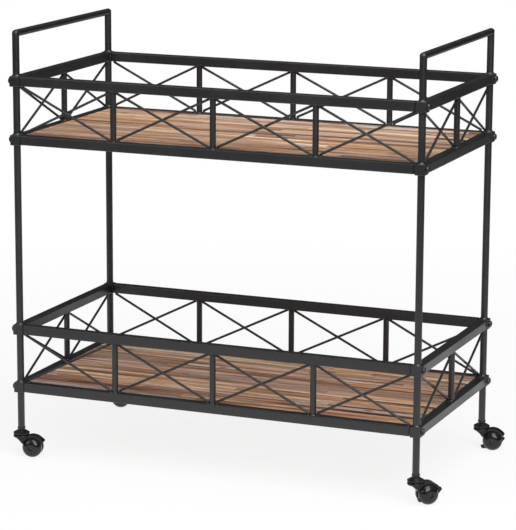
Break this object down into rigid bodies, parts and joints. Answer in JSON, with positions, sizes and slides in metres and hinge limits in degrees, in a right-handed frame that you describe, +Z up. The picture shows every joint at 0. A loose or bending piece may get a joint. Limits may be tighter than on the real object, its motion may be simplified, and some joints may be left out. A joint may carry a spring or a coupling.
{
  "type": "bar cart",
  "caption": "Rolling bar cart with two wooden shelves inside black metal galleries with crossed rods, tubular push handles and swivel ball casters with push-through brake bars",
  "frame": {"origin": "on the floor, midway between the axes of the four legs", "axes": "+Z up, +X along the cart's length towards the braked casters, +Y from front to back"},
  "size_m": [0.9044, 0.4585, 0.864],
  "materials": {
    "black_frame": "satin powder coat",
    "black_bolts": "semi gloss",
    "black_plastic": "matte",
    "caster_plastic": "semi gloss",
    "wheel_plastic": "gloss",
    "caster_steel": "black plated",
    "screw_steel": "zinc plated",
    "upper_shelf_wood": "oiled strips",
    "lower_shelf_wood": "oiled strips"
  },
  "bodies": {
    "frame": {"caster_stems": "caster_steel", "frame_bolts": "black_bolts", "left_corner_blocks": "black_frame", "left_end_cross_rods": "black_frame", "left_end_rails": "black_frame", "left_end_uprights": "black_frame", "left_handle_legs": "black_frame", "leg_inserts": "black_plastic", "lower_back_cross_rods": "black_frame", "lower_back_shelf_rail": "black_frame", "lower_back_top_rail": "black_frame", "lower_back_uprights": "black_frame", "lower_front_cross_rods": "black_frame", "lower_front_shelf_rail": "black_frame", "lower_front_top_rail": "black_frame", "lower_front_uprights": "black_frame", "lower_shelf_board": "lower_shelf_wood", "lower_shelf_tabs": "black_frame", "rail_end_plugs": "black_plastic", "right_corner_blocks": "black_frame", "right_end_cross_rods": "black_frame", "right_end_rails": "black_frame", "right_end_uprights": "black_frame", "right_handle_legs": "black_frame", "shelf_screws": "screw_steel", "swivel_caps": "caster_plastic", "upper_back_cross_rods": "black_frame", "upper_back_shelf_rail": "black_frame", "upper_back_top_rail": "black_frame", "upper_back_uprights": "black_frame", "upper_front_cross_rods": "black_frame", "upper_front_shelf_rail": "black_frame", "upper_front_top_rail": "black_frame", "upper_front_uprights": "black_frame", "upper_shelf_board": "upper_shelf_wood", "upper_shelf_tabs": "black_frame"},
    "front_left_caster": {"front_left_caster_axle": "caster_steel", "front_left_caster_housing": "caster_plastic"},
    "front_left_front_wheel": {"front_left_caster_front_wheel": "wheel_plastic"},
    "front_left_back_wheel": {"front_left_caster_back_wheel": "wheel_plastic"},
    "front_right_caster": {"front_right_caster_axle": "caster_steel", "front_right_caster_housing": "caster_plastic"},
    "front_right_front_wheel": {"front_right_caster_front_wheel": "wheel_plastic"},
    "front_right_back_wheel": {"front_right_caster_back_wheel": "wheel_plastic"},
    "front_right_brake": {"front_right_brake_bar": "caster_plastic"},
    "back_left_caster": {"back_left_caster_axle": "caster_steel", "back_left_caster_housing": "caster_plastic"},
    "back_left_front_wheel": {"back_left_caster_front_wheel": "wheel_plastic"},
    "back_left_back_wheel": {"back_left_caster_back_wheel": "wheel_plastic"},
    "back_right_caster": {"back_right_caster_axle": "caster_steel", "back_right_caster_housing": "caster_plastic"},
    "back_right_front_wheel": {"back_right_caster_front_wheel": "wheel_plastic"},
    "back_right_back_wheel": {"back_right_caster_back_wheel": "wheel_plastic"},
    "back_right_brake": {"back_right_brake_bar": "caster_plastic"}
  },
  "joints": [
    {"name": "front_left_swivel", "type": "hinge", "parent": "frame", "child": "front_left_caster", "pos_m": [-0.42, -0.208, 0.042], "axis": [0, 0, 1], "continuous": true},
    {"name": "front_left_front_wheel_spin", "type": "hinge", "parent": "front_left_caster", "child": "front_left_front_wheel", "pos_m": [-0.39701, -0.20311, 0.02], "axis": [-0.2079, 0.9781, 0], "continuous": true},
    {"name": "front_left_back_wheel_spin", "type": "hinge", "parent": "front_left_caster", "child": "front_left_back_wheel", "pos_m": [-0.39701, -0.20311, 0.02], "axis": [-0.2079, 0.9781, 0], "continuous": true},
    {"name": "front_right_swivel", "type": "hinge", "parent": "frame", "child": "front_right_caster", "pos_m": [0.42, -0.208, 0.042], "axis": [0, 0, 1], "continuous": true},
    {"name": "front_right_front_wheel_spin", "type": "hinge", "parent": "front_right_caster", "child": "front_right_front_wheel", "pos_m": [0.43746, -0.19228, 0.02], "axis": [-0.6691, 0.7431, 0], "continuous": true},
    {"name": "front_right_back_wheel_spin", "type": "hinge", "parent": "front_right_caster", "child": "front_right_back_wheel", "pos_m": [0.43746, -0.19228, 0.02], "axis": [-0.6691, 0.7431, 0], "continuous": true},
    {"name": "front_right_brake_slide", "type": "slide", "parent": "front_right_caster", "child": "front_right_brake", "axis": [0.6735, 0.6064, 0.4226], "range_m": [-0.0062, 0]},
    {"name": "back_left_swivel", "type": "hinge", "parent": "frame", "child": "back_left_caster", "pos_m": [-0.42, 0.208, 0.042], "axis": [0, 0, 1], "continuous": true},
    {"name": "back_left_front_wheel_spin", "type": "hinge", "parent": "back_left_caster", "child": "back_left_front_wheel", "pos_m": [-0.39701, 0.21289, 0.02], "axis": [-0.2079, 0.9781, 0], "continuous": true},
    {"name": "back_left_back_wheel_spin", "type": "hinge", "parent": "back_left_caster", "child": "back_left_back_wheel", "pos_m": [-0.39701, 0.21289, 0.02], "axis": [-0.2079, 0.9781, 0], "continuous": true},
    {"name": "back_right_swivel", "type": "hinge", "parent": "frame", "child": "back_right_caster", "pos_m": [0.42, 0.208, 0.042], "axis": [0, 0, 1], "continuous": true},
    {"name": "back_right_front_wheel_spin", "type": "hinge", "parent": "back_right_caster", "child": "back_right_front_wheel", "pos_m": [0.44314, 0.21208, 0.02], "axis": [-0.1736, 0.9848, 0], "continuous": true},
    {"name": "back_right_back_wheel_spin", "type": "hinge", "parent": "back_right_caster", "child": "back_right_back_wheel", "pos_m": [0.44314, 0.21208, 0.02], "axis": [-0.1736, 0.9848, 0], "continuous": true},
    {"name": "back_right_brake_slide", "type": "slide", "parent": "back_right_caster", "child": "back_right_brake", "axis": [0.8925, 0.1574, 0.4226], "range_m": [0, 0.0062]}
  ]
}
